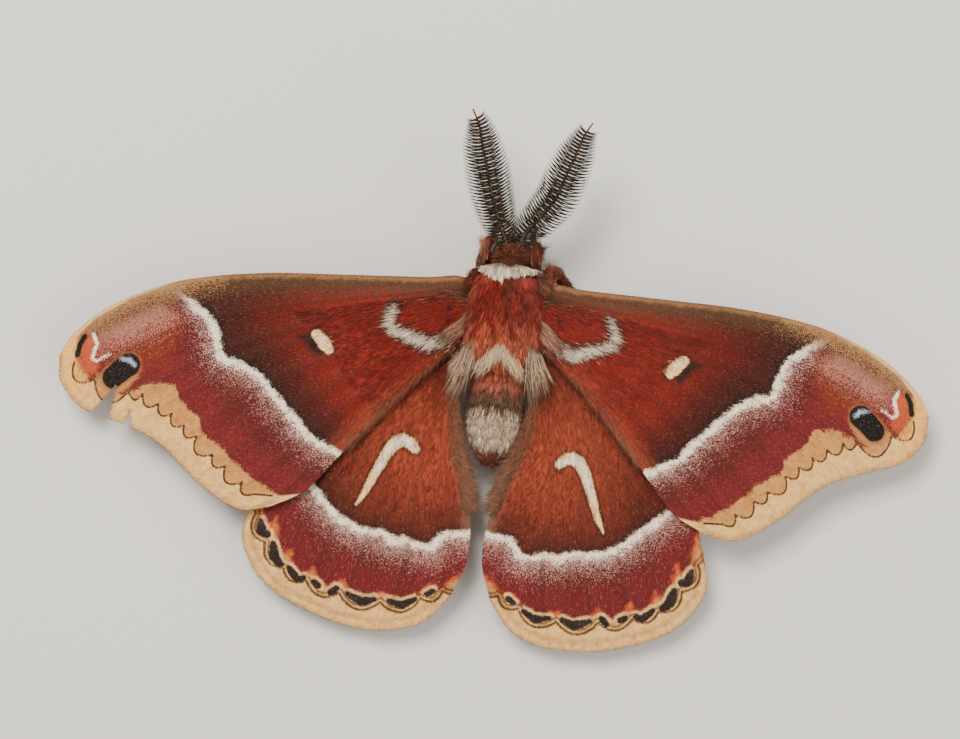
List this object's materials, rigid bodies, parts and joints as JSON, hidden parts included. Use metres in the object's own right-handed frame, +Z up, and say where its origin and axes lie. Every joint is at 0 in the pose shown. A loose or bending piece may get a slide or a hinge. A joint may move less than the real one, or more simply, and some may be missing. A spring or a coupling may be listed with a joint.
{
  "type": "ceanothus silk moth",
  "caption": "Large red-brown silk moth with open patterned wings, feathered feelers and a furry body, standing on its feet.",
  "frame": {"origin": "on the floor, under the middle of the model's box", "axes": "+X to the moth's right wing tip, +Y to its head, +Z up"},
  "size_m": [0.1104, 0.0668, 0.0147],
  "materials": {
    "thorax_hair": "long silky crimson hair",
    "abdomen_hair": "short dense hair, red-brown with white and grey bands",
    "white_hair": "long silky white hair",
    "head_hair": "short reddish-brown hair",
    "eye_facets": "glossy near-black compound eye",
    "feeler": "dark brown horny shaft and rays with a soft shine",
    "wing_scales": "powdery scales in red, white, pink, tan and black markings",
    "leg_hair": "reddish-brown hair over a horny leg"
  },
  "bodies": {
    "root": {"abdomen": "abdomen_hair", "antenna_left": "feeler", "antenna_right": "feeler", "collar": "white_hair", "eye_left": "eye_facets", "eye_right": "eye_facets", "forewing_left": "wing_scales", "forewing_right": "wing_scales", "head": "head_hair", "hindwing_left": "wing_scales", "hindwing_right": "wing_scales", "leg_front_left": "leg_hair", "leg_front_right": "leg_hair", "leg_hind_left": "leg_hair", "leg_hind_right": "leg_hair", "leg_mid_left": "leg_hair", "leg_mid_right": "leg_hair", "palp_left": "head_hair", "palp_right": "head_hair", "thorax": "thorax_hair"}
  },
  "joints": []
}
